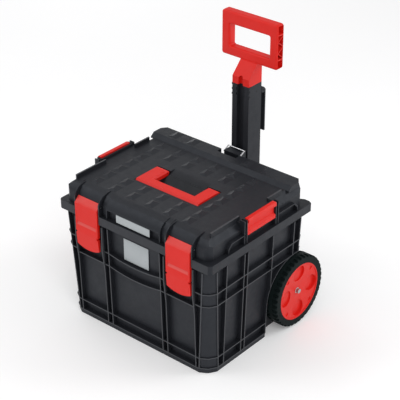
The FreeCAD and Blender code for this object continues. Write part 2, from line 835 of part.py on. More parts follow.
def make_bin():
    trench = box("axle_trench", about("0", "well_x - wall"), about("wheel_y", "hump_width / 2 - wall"),
                 ("-overrun", "axle_z + hump_rise - wall"))
    axle_bore = rod("axle_bore", "X", "axle_radius + pin_play", about("0", "well_x + overrun"),
                    ("wheel_y", "axle_z"))
    hinge_bore = rod("hinge_bore", "X", "pin_radius + pin_play", about("0", "ear_outer_x + overrun"),
                     ("hinge_y", "hinge_z"))
    screw_bores = [rod("screw_bore", "Y", "screw_radius + pin_play",
                       ("panel_half_y - slip", "bin_half_y + overrun"), spot) for spot in screw_spots()]
    wells = [wheel_well(side, "0") for side in BOTH_SIDES]
    hollows = [bin_cavity(), trench, axle_bore, hinge_bore, *screw_bores, *wells]
    keep(cut("bin_shell", bin_outside(), hollows), "bin_shell")

    label = box("bin_label", about("0", "label_width / 2"), ("-panel_half_y - label_thick", "-panel_half_y"),
                ("label_low_z", "label_low_z + label_height"))
    keep(label, "bin_label")
    pins = [rod("hinge_pin", "X", "pin_radius", sided(side, "ear_inner_x", "ear_outer_x"),
                ("hinge_y", "hinge_z")) for side in BOTH_SIDES]
    keep(group("hinge_pins", pins), "hinge_pins")


# Wheels

AXLE_LINE = ("wheel_y", "axle_z")
WHEEL_SPAN = ("wheel_inner_x", "wheel_face_x")


def ring_spots(count, circle, start_share):
    """Places evenly round the axle, as formulas across the depth and up."""
    spots = []
    for number in range(count):
        turn = 2 * math.pi * (number + start_share) / count
        across, up = (f"({circle}) * {value:.6f}" for value in (math.cos(turn), math.sin(turn)))
        spots.append((f"wheel_y + {across}", f"axle_z + {up}"))
    return spots


def make_tyre():
    """A tyre with tread grooves from both sides, staggered."""
    disc = rod("tyre_disc", "X", "wheel_radius", WHEEL_SPAN, AXLE_LINE)
    blank = rounded("tyre_blank", disc, "tyre_round", lambda edge: edge.Curve.TypeId == "Part::GeomCircle")
    cuts = [rod("tyre_hole", "X", "hub_radius", beyond(WHEEL_SPAN), AXLE_LINE)]
    circle = "wheel_radius + tread_radius - tread_depth"
    rows = (
        (("wheel_face_x - tread_reach", "wheel_face_x + overrun"), 0),
        (("wheel_inner_x - overrun", "wheel_inner_x + tread_reach"), HALF_STEP_SHARE),
    )
    for span, start_share in rows:
        for spot in ring_spots(LUG_COUNT, circle, start_share):
            cuts.append(rod("tread_groove", "X", "tread_radius", span, spot))
    keep_pair(cut("tyre", blank, cuts), "wheel_tyre")


def make_hub():
    """A ring round a hollowed dish with four deep round pockets and a dimple between each two."""
    width = ("wheel_inner_x + slip", "wheel_face_x - slip")
    inside = rod("hub_inner", "X", "dish_radius", beyond(WHEEL_SPAN), AXLE_LINE)
    ring = cut("hub_ring", rod("hub_outer", "X", "hub_radius", width, AXLE_LINE), [inside])
    plate = rod("hub_plate", "X", "hub_radius - hub_rim / 2", ("hub_face_x - hub_web", "dish_x"), AXLE_LINE)
    boss = rod("hub_boss", "X", "boss_radius", ("wheel_inner_x + slip", "hub_face_x"), AXLE_LINE)
    dish = cone("hub_dish", "X", ("boss_radius", "dish_radius"), ("hub_face_x", "dish_x"), AXLE_LINE)
    cuts = [dish, rod("hub_bore", "X", "bush_radius", beyond(WHEEL_SPAN), AXLE_LINE)]
    deep = ("hub_face_x - pocket_sink", "wheel_face_x")
    for spot in ring_spots(POCKET_COUNT, "pocket_circle", 0):
        cuts.append(rod("hub_pocket", "X", "pocket_radius", deep, spot))
    shallow = ("dish_x - dimple_depth", "wheel_face_x")
    for spot in ring_spots(POCKET_COUNT, "dimple_circle", HALF_STEP_SHARE):
        cuts.append(rod("hub_dimple", "X", "dimple_radius", shallow, spot))
    keep_pair(cut("hub", fuse("hub_solid", [plate, boss, ring]), cuts), "wheel_hub")


def make_bush():
    sleeve = rod("bush_outer", "X", "bush_radius", ("wheel_inner_x + slip", "hub_face_x"), AXLE_LINE)
    bore = rod("bush_bore", "X", "axle_radius + pin_play", beyond(WHEEL_SPAN), AXLE_LINE)
    keep_pair(cut("bush", sleeve, [bore]), "wheel_bush")


def make_axle():
    outer = "hub_face_x + slip"
    tip = f"{outer} + cap_length / 2"
    keep(rod("axle", "X", "axle_radius", about("0", tip), AXLE_LINE), "axle")
    caps = []
    spacers = []
    for side in BOTH_SIDES:
        cap = rod("cap_blank", "X", "cap_radius", sided(side, outer, f"{outer} + cap_length"), AXLE_LINE)
        socket = rod("cap_socket", "X", "axle_radius + pin_play", sided(side, f"{outer} - overrun", tip),
                     AXLE_LINE)
        caps.append(cut("axle_cap", cap, [socket]))
        span = sided(side, "well_x", "wheel_inner_x")
        hole = rod("spacer_bore", "X", "axle_radius + pin_play", beyond(span), AXLE_LINE)
        spacers.append(cut("axle_spacer", rod("spacer_blank", "X", "spacer_radius", span, AXLE_LINE), [hole]))
    keep(group("axle_caps", caps), "axle_caps")
    keep(group("axle_spacers", spacers), "axle_spacers")


# Lid

# The front edge of the lid in shares of its height: how far back, and how far below the deck.
ROLL_SHARES = ((0, 1), (0.2, 0.55), (0.6, 0.18), (1.3, 0))


def front_roll(front, top, height):
    """The places along the lid's rolled front edge, from its wall up to the deck."""
    return [(f"{front} + {back} * ({height})", f"{top} - {down} * ({height})") for back, down in ROLL_SHARES]


def lid_form(name, side_inset, front_inset, rear_inset, top_inset, low):
    """The lid's body or its hollow: a soft plan, sloped at the front and along the sides."""
    half = f"(lid_half_x - {side_inset})"
    front = f"(lid_front_y + {front_inset})"
    rear = f"(lid_rear_y - {rear_inset})"
    top = f"(deck_z - {top_inset})"
    plan = prism(name + "_plan", "Z", soft_plan(half, front, rear, "lid_corner"), (low, top))
    profile = [(front, low), *front_roll(front, top, "front_chamfer"), (rear, top), (rear, low)]
    side = prism(name + "_side", "X", profile, beyond((f"-{half}", half)))
    slope = [(half, low), (half, f"{top} - side_chamfer"), (f"{half} - side_chamfer", top)]
    slope += [(f"-({x})", z) for x, z in reversed(slope)]
    end = prism(name + "_end", "Y", slope, beyond((front, rear)))
    return common(name, [plan, side, end])


def lid_rim():
    """The skirt round the lid, with a lobe at each back corner."""
    plan = soft_plan("half_width", "-half_depth", "half_depth", "rim_corner")
    rings = [prism("rim_ring", "Z", plan, ("rim_low_z", "rim_top_z"))]
    for side in BOTH_SIDES:
        tip = f"{side} * half_width"
        bevel = f"{side} * lobe_bevel"
        outline = [
            (f"{side} * lobe_inner_x", "cavity_half_y"),
            (tip, "cavity_half_y - lobe_bevel"),
            (tip, "half_depth + lobe_reach * lobe_bevel_share"),
            (f"{tip} - {bevel}", "half_depth + lobe_reach"),
            (f"{side} * lobe_inner_x + {bevel}", "half_depth + lobe_reach"),
            (f"{side} * lobe_inner_x", "half_depth + lobe_reach * lobe_bevel_share"),
        ]
        rings.append(prism("rim_lobe", "Z", outline, ("rim_low_z", "rim_top_z")))
    return rings


def rim_channel():
    """The hollow under the skirt, between its outer wall and the seat of the seal."""
    plan = soft_plan("(half_width - wall)", "-(half_depth - wall)", "(half_depth - wall)",
                     "(rim_corner - wall)")
    outer = prism("channel_outer", "Z", plan, ("rim_low_z - overrun", "rim_top_z - wall"))
    seat = plan_of("cavity", "rim_seat")
    inner = prism("channel_inner", "Z", seat, ("rim_low_z - 2 * overrun", "rim_top_z"))
    return cut("rim_channel", outer, [inner])


def seal_ring(name, span):
    """The ring that the seal fills, on the middle of the bin's lip."""
    outer = prism(name + "_outer", "Z", plan_of("cavity", "(seal_inset + seal_width)"), span)
    inner = prism(name + "_inner", "Z", plan_of("cavity", "seal_inset"), span)
    return cut(name, outer, [inner])


def rear_bar():
    """The raised bar across the back of the deck, with bevelled ends."""
    plan = [
        ("bar_half_front", "bar_front_y"),
        ("bar_half_front", "bar_bend_y"),
        ("bar_half_rear", "lid_rear_y"),
    ]
    plan += [(f"-{x}", y) for x, y in reversed(plan)]
    flat = prism("bar_plan", "Z", plan, ("deck_z - wall", "bar_top_z"))
    profile = [
        ("bar_front_y", "deck_z - wall"),
        ("bar_front_y", "deck_z"),
        ("bar_front_y + bar_slope", "bar_top_z"),
        ("lid_rear_y", "bar_top_z"),
        ("lid_rear_y", "deck_z - wall"),
    ]
    sloped = prism("bar_profile", "X", profile, about("0", "bar_half_front + overrun"))
    return common("rear_bar", [flat, sloped])


def lid_sides():
    """Rails, clip bays with their lips, hollow posts and ledge fences along the lid's two sides."""
    pieces = []
    for side in BOTH_SIDES:
        rail = sided(side, "rail_x - rail_thick", "rail_x")
        top = ("deck_z - side_chamfer", "deck_z + rail_rise")
        pieces.append(box("fore_rail", rail, ("rail_fore_y", "clip_y - post_start"), top))
        pieces.append(box("aft_rail", rail, ("clip_y + post_start", "rail_aft_y"), top))
        pieces.append(box("clip_bay", sided(side, "rail_x - side_chamfer", "clip_inner_x - post_gap"),
                          about("clip_y", "post_end"), ("deck_z - side_chamfer - wall", "deck_z")))
        lip = sided(side, "clip_inner_x - post_gap - rail_thick", "clip_inner_x - post_gap")
        pieces.append(box("clip_lip", lip, about("clip_y", "post_start + post_rib"),
                          ("deck_z - wall", "deck_z + clip_lip")))
        out = sided(side, "lid_half_x - wall", "post_x")
        for end in BOTH_SIDES:
            for start in ("post_start", "post_end - post_rib"):
                span = sided(end, start, f"{start} + post_rib")
                ys = (f"clip_y + {span[0]}", f"clip_y + {span[1]}")
                pieces.append(box("post_rib", out, ys, ("rim_top_z - wall", "post_top_z")))
        pieces.append(fence(side, "clip_y - post_end", "fence_fore_y", -1))
        pieces.append(fence(side, "clip_y + post_end", "fence_aft_y", 1))
    return pieces


def fence(side, start, stop, way):
    """A thin ledge from a post to a bend, and down to the skirt."""
    across = sided(side, "lid_half_x - wall", "fence_x")
    outlines = []
    for inset in ("0", "fence_thick"):
        end = f"{stop} - {way} * {inset}"
        begin = f"{start} - {way} * {inset}"
        top = f"fence_top_z - {inset}"
        base = f"rim_top_z - wall - {inset}"
        outlines.append([(begin, base), (begin, top), (f"{end} - {way} * fence_bend", top),
                         (end, f"{top} - fence_bend"), (end, base)])
    outer = prism("fence_outer", "X", outlines[0], across)
    return cut("lid_fence", outer, [prism("fence_inner", "X", outlines[1], beyond(across))])


def bay_block():
    """The raised middle of the lid's front, which frames the badge."""
    profile = [
        ("lid_front_y + front_wall", "rim_top_z - wall"),
        ("bay_front_y", "rim_top_z - wall"),
        *front_roll("bay_front_y", "deck_z", "deck_z - bay_top_z"),
        ("lid_front_y + front_wall + deck_z - bay_top_z", "deck_z"),
    ]
    return prism("bay_block", "X", profile, about("0", "bay_half"))


def bay_hollow():
    return box("bay_hollow", about("0", "bay_half - wall"),
               ("bay_front_y - overrun", "bay_front_y + bay_depth"), ("rim_top_z", "bay_top_z - wall"))


def badge_pad():
    """The seat behind the badge."""
    return box("badge_pad", about("0", "badge_width / 2 + slip"),
               ("bay_front_y + badge_thick", "lid_front_y + front_wall"),
               ("badge_low_z", "badge_low_z + badge_height"))


def lid_cheeks():
    """The cheeks that stand beside each latch on the lid and hold its pin."""
    outline = [
        ("lid_front_y + front_wall", "rim_top_z - wall"),
        ("cheek_front_y", "rim_top_z - wall"),
        *front_roll("cheek_front_y", "deck_z", "front_chamfer"),
        ("lid_front_y + front_chamfer + front_wall", "deck_z"),
    ]
    cheeks = []
    for side in BOTH_SIDES:
        for low, high in (("bay_inner_x - cheek_thick", "bay_inner_x"),
                          ("bay_outer_x", "bay_outer_x + cheek_thick")):
            cheeks.append(prism("lid_cheek", "X", outline, sided(side, low, high)))
    return cheeks


def latch_cuts():
    """What is cut away from the lid for each latch: its bay, a scoop, a bore, and a slot by each cheek."""
    back = "lid_front_y + slot_depth / 2"
    profile = [
        ("lid_front_y - overrun", "rim_top_z"),
        (back, "rim_top_z"),
        *front_roll(back, "deck_z", "front_chamfer"),
        ("lid_front_y - overrun", "deck_z"),
    ]
    pin_line = ("latch_pin_y", "latch_pin_z")
    cuts = []
    for side in BOTH_SIDES:
        bay = sided(side, "bay_inner_x", "bay_outer_x")
        cuts.append(rod("latch_scoop", "X", "latch_swing", bay, pin_line))
        cuts.append(box("latch_gap", bay, ("-rim_depth", "latch_back_y + latch_edge"),
                        ("rim_low_z - overrun", "latch_pin_z")))
        cheeks = sided(side, "bay_inner_x - cheek_thick", "bay_outer_x + cheek_thick")
        cuts.append(rod("latch_bore", "X", "latch_pin_radius + pin_play", beyond(cheeks), pin_line))
        for low, high in (("bay_inner_x - cheek_thick - slot_width", "bay_inner_x - cheek_thick"),
                          ("bay_outer_x + cheek_thick", "bay_outer_x + cheek_thick + slot_width")):
            cuts.append(prism("cheek_slot", "X", profile, sided(side, low, high)))
    return cuts


SEAT_HALF = "handle_half + handle_gap"
SEAT_FRONT = "handle_front_y - handle_gap"
SEAT_BACK = "handle_back_y + handle_gap"
SEAT_FLOOR = "handle_top_z - handle_thick - handle_gap"
FINGER_FRONT = "handle_front_y + handle_bar - handle_gap"
FINGER_FLOOR = "deck_z - well_floor"
FINGER_BACK = "handle_back_y + handle_gap + well_run"


def handle_tubs():
    """The solid left under the deck round the carrying handle's hollows."""
    top = "deck_z - wall / 2"
    return [
        box("handle_tub", about("0", f"{SEAT_HALF} + wall"), (f"{SEAT_FRONT} - wall", f"{SEAT_BACK} + wall"),
            (f"{SEAT_FLOOR} - wall", top)),
        box("finger_tub", about("0", "handle_inner"), (f"{FINGER_FRONT} - wall", FINGER_BACK),
            (f"{FINGER_FLOOR} - wall", top)),
    ]


def handle_hollows():
    """The hollow that the carrying handle lies in, the finger well that ramps up behind it, and its bore."""
    above = "handle_top_z + overrun"
    ramp = [
        (FINGER_FRONT, above),
        (FINGER_FRONT, FINGER_FLOOR),
        (f"{FINGER_FRONT} + well_flat", FINGER_FLOOR),
        (f"{FINGER_BACK} - 2 * well_run", "deck_z - well_floor * ramp_turn_share"),
        (FINGER_BACK, "deck_z"),
        (FINGER_BACK, above),
    ]
    bar = ("handle_front_y - handle_gap", "handle_front_y + handle_bar + handle_gap")
    hollows = [
        box("bar_hollow", about("0", SEAT_HALF), bar, (SEAT_FLOOR, above)),
        prism("finger_hollow", "X", ramp, about("0", "handle_inner - wall")),
    ]
    for side in BOTH_SIDES:
        across = sided(side, "handle_inner - wall - handle_gap", SEAT_HALF)
        hollows.append(box("arm_hollow", across, (SEAT_FRONT, SEAT_BACK), (SEAT_FLOOR, above)))
    bore = rod("handle_bore", "X", "pin_radius + pin_play", about("0", f"{SEAT_HALF} + wall + overrun"),
               ("handle_axis_y", "handle_axis_z"))
    return [*hollows, bore]


def clip_bores():
    """Bores in the posts for the pins of the side clips."""
    return [rod("post_bore", "Y", "clip_pin_radius + pin_play", about("clip_y", "post_start + post_rib"),
                (f"{side} * clip_pin_x", "clip_pin_z")) for side in BOTH_SIDES]


def lid_hollows():
    """The inside of the lid, which leaves walls round the bail's notch and the carrying handle."""
    low = prism("rim_hollow", "Z", plan_of("cavity"), ("rim_low_z - overrun", "rim_top_z - wall"))
    high = lid_form("lid_hollow", "wall", "front_wall", "wall", "wall", "rim_top_z - wall - overrun")
    notch_wall = box("notch_wall", about("0", "notch_half + wall"),
                     ("lid_rear_y - notch_depth - wall", "rim_depth"), ("notch_low_z - wall", "bar_top_z"))
    return cut("lid_hollows", fuse("lid_hollow_all", [low, high]), [notch_wall, *handle_tubs()])


def hinge_knuckles():
    """The lid's half of each hinge, between two ears of the bin."""
    knuckles = []
    low = "ear_inner_x + ear_thick + lid_gap / 2"
    for side in BOTH_SIDES:
        across = sided(side, low, f"{low} + knuckle_width - lid_gap")
        lug_ys = ("lid_rear_y - wall", "hinge_y")
        knuckles.append(box("knuckle_lug", across, lug_ys, about("hinge_z", "ear_radius")))
        knuckles.append(rod("knuckle_eye", "X", "ear_radius", across, ("hinge_y", "hinge_z")))
    return knuckles


def make_lid():
    body = lid_form("lid_body", "0", "0", "0", "0", "rim_top_z - wall")
    outside = fuse("lid_outside", [body, *lid_rim(), rear_bar(), bay_block(), *lid_cheeks(), *lid_sides()])
    notch = box("lid_notch", about("0", "notch_half"), ("lid_rear_y - notch_depth", "rim_depth"),
                ("notch_low_z", "bar_top_z + overrun"))
    ear_gaps = [box("ear_gap", sided(side, "ear_inner_x - lid_gap", "ear_outer_x + lid_gap"),
                    ("lid_rear_y", "rim_depth"), beyond(("rim_low_z", "rim_top_z"))) for side in BOTH_SIDES]
    groove = seal_ring("seal_groove", ("rim_low_z - overrun", "rim_low_z + seal_rise"))
    shell = cut("lid_hollowed", outside, [lid_hollows(), rim_channel(), notch, bay_hollow(), *latch_cuts(),
                                         *ear_gaps, *clip_bores(), *handle_hollows(), groove])
    bore = rod("knuckle_bore", "X", "pin_radius + pin_play", about("0", "ear_outer_x + overrun"),
               ("hinge_y", "hinge_z"))
    keep(cut("lid_shell", fuse("lid_knuckled", [shell, badge_pad(), *hinge_knuckles()]), [bore]), "lid_shell")

    keep(seal_ring("lid_seal", ("bin_height + slip", "rim_low_z + seal_rise")), "lid_seal")
    badge = box("lid_badge", about("0", "badge_width / 2"), ("bay_front_y", "bay_front_y + badge_thick"),
                ("badge_low_z", "badge_low_z + badge_height"))
    keep(badge, "lid_badge")
    latch_pins = [rod("latch_pin", "X", "latch_pin_radius",
                      sided(side, "bay_inner_x - cheek_thick", "bay_outer_x + cheek_thick"),
                      ("latch_pin_y", "latch_pin_z")) for side in BOTH_SIDES]
    keep(group("latch_pins", latch_pins), "latch_pins")
    handle_pins = [rod("handle_pin", "X", "pin_radius",
                       sided(side, "handle_half - handle_arm / 2", f"{SEAT_HALF} + wall"),
                       ("handle_axis_y", "handle_axis_z")) for side in BOTH_SIDES]
    keep(group("handle_pins", handle_pins), "handle_pins")


# Pieces that move on the lid

def latch_pad():
    """A shallow dish in the latch's face, with a step in to a finger ledge near its lower end."""
    profile = [
        ("latch_front_y - overrun", "pad_high_z"),
        ("latch_front_y", "pad_high_z"),
        ("latch_front_y + pad_dish", "pad_low_z + pad_ledge"),
        ("latch_front_y + pad_depth", "pad_low_z + pad_ledge"),
        ("latch_front_y", "pad_low_z"),
        ("latch_front_y - overrun", "pad_low_z"),
    ]
    return prism("latch_pad", "X", profile, about("latch_x", "latch_half - pad_inset"))


def latch_bow_cut():
    """What is cut off under the latch's bowed lower edge."""
    ys = ("-rim_depth", "0")
    below = box("latch_below", about("latch_x", "latch_half + overrun"), ys,
                ("latch_low_z - overrun", "latch_low_z + latch_sag"))
    bow = rod("latch_bow", "Y", "latch_bow", beyond(ys), ("latch_x", "latch_low_z + latch_bow"))
    return cut("latch_bow_cut", below, [bow])


def make_latches():
    """A latch hung from a pin near its top edge, on each side."""
    profile = [
        ("latch_front_y + latch_belly", "latch_low_z"),
        ("latch_front_y", "nick_z"),
        ("latch_front_y", "latch_top_z - latch_depth"),
        ("latch_back_y", "latch_top_z"),
        ("latch_back_y", "latch_pin_z - latch_thick / 2"),
        ("latch_front_y + latch_thick", "latch_pin_z - 2 * latch_thick"),
        ("latch_front_y + latch_thick", "latch_low_z"),
    ]
    blank = prism("latch_blank", "X", profile, about("latch_x", "latch_half"))
    nicks = [box("latch_nick", about(f"latch_x + {side} * latch_half", "nick_depth"), ("-rim_depth", "0"),
                 about("nick_z", "nick_height / 2")) for side in BOTH_SIDES]
    bore = rod("latch_eye", "X", "latch_pin_radius + pin_play", about("latch_x", "latch_half + overrun"),
               ("latch_pin_y", "latch_pin_z"))
    keep_pair(cut("latch", blank, [latch_bow_cut(), latch_pad(), bore, *nicks]), "latch")


def edge_slope(name, axis, edge, inward, span):
    """A cutter that slopes off a top edge of the carrying handle, which lies at a place across the axis."""
    outline = [
        (f"{edge} - {inward} * overrun", "handle_top_z + overrun"),
        (f"{edge} - {inward} * overrun", "handle_top_z - handle_bevel - overrun"),
        (f"{edge} + {inward} * (handle_bevel + overrun)", "handle_top_z + overrun"),
    ]
    return prism(name, axis, outline, span)


def make_lid_handle():
    """A flat U that folds up on two pins at the back ends of its arms."""
    tall = ("handle_top_z - handle_thick", "handle_top_z")
    bar_ys = ("handle_front_y", "handle_front_y + handle_bar")
    solids = [box("handle_bar", about("0", "handle_half"), bar_ys, tall)]
    cuts = [edge_slope("bar_slope", "X", "handle_front_y", 1, about("0", "handle_half + overrun"))]
    for side in BOTH_SIDES:
        across = sided(side, "handle_inner", "handle_half")
        solids.append(box("handle_arm", across, ("handle_front_y", "handle_axis_y"), tall))
        solids.append(rod("handle_end", "X", "handle_thick / 2", across, ("handle_axis_y", "handle_axis_z")))
        cuts.append(edge_slope("arm_slope", "Y", f"{side} * handle_inner", side,
                               (bar_ys[1], "handle_back_y + overrun")))
    cuts.append(rod("handle_eye", "X", "pin_radius + pin_play", about("0", "handle_half + overrun"),
                    ("handle_axis_y", "handle_axis_z")))
    keep(cut("lid_handle", fuse("handle_u", solids), cuts), "lid_handle")


def make_clips():
    """A channel on its side that swings out from the lid, on each side."""
    web = "clip_inner_x + clip_web"
    edge = "clip_web / 2"
    profile = [
        (f"clip_inner_x + {edge}", "clip_low_z"),
        (f"clip_outer_x - {edge}", "clip_low_z"),
        (f"clip_outer_x - {edge}", "clip_low_z + clip_foot"),
        (web, "clip_low_z + clip_foot + clip_web"),
        (web, "clip_top_z - clip_ridge - clip_web"),
        ("clip_outer_x", "clip_top_z - clip_ridge"),
        ("clip_outer_x", f"clip_top_z - {edge}"),
        (f"clip_outer_x - {edge}", "clip_top_z"),
        ("clip_inner_x", "clip_top_z"),
        ("clip_inner_x", f"clip_low_z + {edge}"),
    ]
    blank = prism("clip_blank", "Y", profile, about("clip_y", "clip_length / 2"))
    bore = rod("clip_eye", "Y", "clip_pin_radius + pin_play", about("clip_y", "clip_length / 2 + overrun"),
               ("clip_pin_x", "clip_pin_z"))
    keep_pair(cut("clip", blank, [bore]), "side_clip")
    pins = [rod("clip_pin", "Y", "clip_pin_radius", about("clip_y", "post_start + post_rib"),
                (f"{side} * clip_pin_x", "clip_pin_z")) for side in BOTH_SIDES]
    keep(group("clip_pins", pins), "clip_pins")


# Column, guide and grip

def make_guide():
    """A channel behind the bin, open down its back, that the column slides in, with a tab for the bail."""
    tall = ("guide_low_z", "guide_high_z")
    solids = [
        box("guide_outer", about("0", "guide_half"), ("guide_front_y", "guide_rear_y"), tall),
        box("guide_tab", about("0", "block_half"), ("guide_front_y", "guide_front_y + guide_wall"),
            ("guide_low_z", "tab_top_z")),
    ]
    for level in foot_levels():
        solids.append(box("guide_plate", about("0", "guide_foot_half"),
                          ("bin_half_y", "bin_half_y + guide_foot_plate"), level))
        solids.append(box("guide_neck", about("0", "guide_neck_half"),
                          ("bin_half_y", "guide_front_y + guide_wall"), level))
    inside = ("guide_low_z + wall", "guide_high_z + overrun")
    bore_ys = ("column_front_y - slip", "column_rear_y + slip")
    slit_ys = ("column_rear_y", "guide_rear_y + overrun")
    bore = box("guide_bore", about("0", "column_half + slip"), bore_ys, inside)
    slit = box("guide_slit", about("0", "guide_slot / 2"), slit_ys, inside)
    holes = [rod("guide_hole", "Y", "screw_radius + pin_play", ("0", "guide_front_y"), spot)
             for spot in screw_spots()]
    keep(cut("handle_guide", fuse("guide_solid", solids), [bore, slit, *holes]), "handle_guide")

    seat = "bin_half_y + guide_foot_plate"
    screws = []
    for spot in screw_spots():
        shank = rod("screw_shank", "Y", "screw_radius", ("panel_half_y", seat), spot)
        head = rod("screw_top", "Y", "screw_head_radius", (seat, f"{seat} + screw_head"), spot)
        screws.append(fuse("guide_screw", [shank, head]))
    keep(group("guide_screws", screws), "guide_screws")


GRIP_PIN_LINE = ("bore_middle_y", "grip_pin_z")


def column_teeth():
    """Small teeth down the sides of the column's top end."""
    teeth = []
    ys = ("column_front_y", "column_front_y + tooth_depth")
    for side in BOTH_SIDES:
        across = sided(side, "column_half - wall", "column_half + tooth_reach")
        for number in range(TOOTH_COUNT):
            top = f"column_top_z - {number} * tooth_pitch"
            teeth.append(box("column_tooth", across, ys, (f"{top} - tooth_height", top)))
    return teeth


def column_notches():
    """Small notches beside the groove, between the teeth's levels."""
    notches = []
    ys = ("column_front_y - overrun", "column_front_y + notch_sink")
    for side in BOTH_SIDES:
        across = sided(side, "groove_width / 2 - overrun", "groove_width / 2 + notch_width")
        for number in range(1, TOOTH_COUNT):
            middle = f"column_top_z - {number} * tooth_pitch"
            notches.append(box("column_notch", across, ys, about(middle, "notch_height / 2")))
    return notches


def make_column():
    """The tube with a groove down its front, and the slider that closes its lower end."""
    tall = ("column_low_z", "column_top_z")
    outer = box("column_outer", about("0", "column_half"), ("column_front_y", "column_rear_y"), tall)
    groove = box("column_groove", about("0", "groove_width / 2"),
                 ("column_front_y - overrun", "column_front_y + groove_depth"), beyond(tall))
    bore = box("column_bore", about("0", "bore_half"), ("bore_front_y", "bore_rear_y"), beyond(tall))
    pin_hole = rod("column_pin_hole", "X", "pin_radius + pin_play", about("0", "column_half + overrun"),
                   GRIP_PIN_LINE)
    solid = fuse("column_solid", [outer, *column_teeth()])
    keep(cut("column_tube", solid, [groove, bore, pin_hole, *column_notches()]), "column_tube")

    plug = box("foot_plug", about("0", "bore_half - pin_play"),
               ("bore_front_y + pin_play", "bore_rear_y - pin_play"),
               ("column_low_z", "column_low_z + foot_plug"))
    flange = box("foot_flange", about("0", "column_half"), ("column_front_y", "column_rear_y"),
                 ("column_low_z - foot_flange", "column_low_z"))
    keep(fuse("column_foot", [plug, flange]), "column_foot")


def grip_ring():
    """The ring to hold, with round corners and soft edges."""
    deep = ("grip_front_y", "grip_rear_y")
    block = box("grip_block", about("0", "grip_half"), deep, ("grip_low_z", "grip_top_z"))
    opening = box("grip_opening", about("0", "grip_half - grip_bar"), beyond(deep),
                  ("grip_low_z + grip_bar", "grip_top_z - grip_top_bar"))
    outer = rounded("grip_outer", block, "grip_corner", lambda edge: runs(edge, "Y"))
    inner = rounded("grip_inner", opening, "hole_corner", lambda edge: runs(edge, "Y"))
    ring = cut("grip_ring", outer, [inner])
    return rounded("grip_soft", ring, "grip_round", lambda edge: edge.BoundBox.YLength < sheet.slip)


def grip_neck():
    """The neck that slopes from the column to the ring, and the tongue inside the column."""
    profile = [
        ("column_front_y", "column_top_z"),
        ("column_rear_y", "column_top_z"),
        ("column_rear_y", "grip_low_z"),
        ("grip_rear_y - grip_round", "neck_top_z"),
        ("grip_front_y + grip_round", "neck_top_z"),
        ("grip_front_y", "grip_low_z"),
        ("column_front_y", "neck_bend_z"),
    ]
    tongue = box("grip_tongue", about("0", "bore_half - pin_play"),
                 ("bore_front_y + pin_play", "bore_rear_y - pin_play"),
                 ("column_top_z - tongue_length", "column_top_z"))
    return [prism("grip_neck", "X", profile, about("0", "column_half")), tongue]


def neck_arch():
    """A small arch in the front of the neck, over the column's groove."""
    ys = ("column_front_y - overrun", "column_front_y + arch_depth")
    spring = "column_top_z + arch_height - arch_width / 2"
    lower = box("arch_lower", about("0", "arch_width / 2"), ys, ("column_top_z - overrun", spring))
    return fuse("neck_arch", [lower, rod("arch_upper", "Y", "arch_width / 2", ys, ("0", spring))])


def grip_pockets():
    """Open pockets in both ends of the ring: two plain ones, and one between them with a zigzag web."""
    ys = ("pocket_front_y", "pocket_rear_y")
    step = f"(lattice_high_z - lattice_low_z - lattice) / {LATTICE_COUNT}"
    pockets = []
    for side in BOTH_SIDES:
        across = sided(side, "grip_half - grip_pocket", "grip_half + overrun")
        for low in ("grip_low_z + grip_skin", "lattice_high_z + grip_skin"):
            pockets.append(box("end_pocket", across, ys, (low, f"{low} + end_pocket")))
        webs = []
        for number in range(LATTICE_COUNT):
            low = f"lattice_low_z + {number} * {step}"
            ends = (low, f"{low} + {step}") if number % 2 else (f"{low} + {step}", low)
            outline = [(ys[0], ends[0]), (ys[1], ends[1]), (ys[1], f"{ends[1]} + lattice"),
                       (ys[0], f"{ends[0]} + lattice")]
            webs.append(prism("lattice_web", "X", outline, across))
        middle = box("lattice_pocket", across, ys, ("lattice_low_z", "lattice_high_z"))
        pockets.append(cut("lattice_hollow", middle, webs))
    return pockets


def make_grip():
    pin_hole = rod("grip_pin_hole", "X", "pin_radius + pin_play", about("0", "column_half"), GRIP_PIN_LINE)
    solid = fuse("grip_solid", [grip_ring(), *grip_neck()])
    keep(cut("grip", solid, [pin_hole, neck_arch(), *grip_pockets()]), "grip")
    keep(rod("grip_pin", "X", "pin_radius", about("0", "column_half"), GRIP_PIN_LINE), "grip_pin")


def make_lever():
    """The lever behind the column, on a pin through a bracket."""
    axis = ("lever_pin_y", "lever_pin_z")
    block = box("bracket_block", about("0", "bracket_half"),
                ("column_rear_y", "column_rear_y + bracket_reach"), ("bracket_low_z", "bracket_high_z"))
    hole = rod("bracket_hole", "X", "pin_radius + pin_play", about("0", "bracket_half + overrun"), axis)
    keep(cut("lever_bracket", block, [hole]), "lever_bracket")

    front = "column_rear_y + bracket_reach + slip"
    rear = f"{front} + lever_plate"
    solids = [box("lever_blade", about("0", "lever_half"), (front, rear),
                  ("lever_low_z", "lever_pin_z - lever_eye / 2"))]
    for side in BOTH_SIDES:
        across = sided(side, "bracket_half + slip", "lever_half")
        solids.append(rod("lever_eye", "X", "lever_eye", across, axis))
        solids.append(box("lever_arm", across, ("lever_pin_y", rear),
                          ("lever_pin_z - lever_eye", "lever_pin_z")))
    bore = rod("lever_bore", "X", "pin_radius + pin_play", about("0", "lever_half + overrun"), axis)
    keep(cut("rear_lever", fuse("lever_solid", solids), [bore]), "rear_lever")
    keep(rod("lever_pin", "X", "pin_radius", about("0", "lever_half"), axis), "lever_pin")


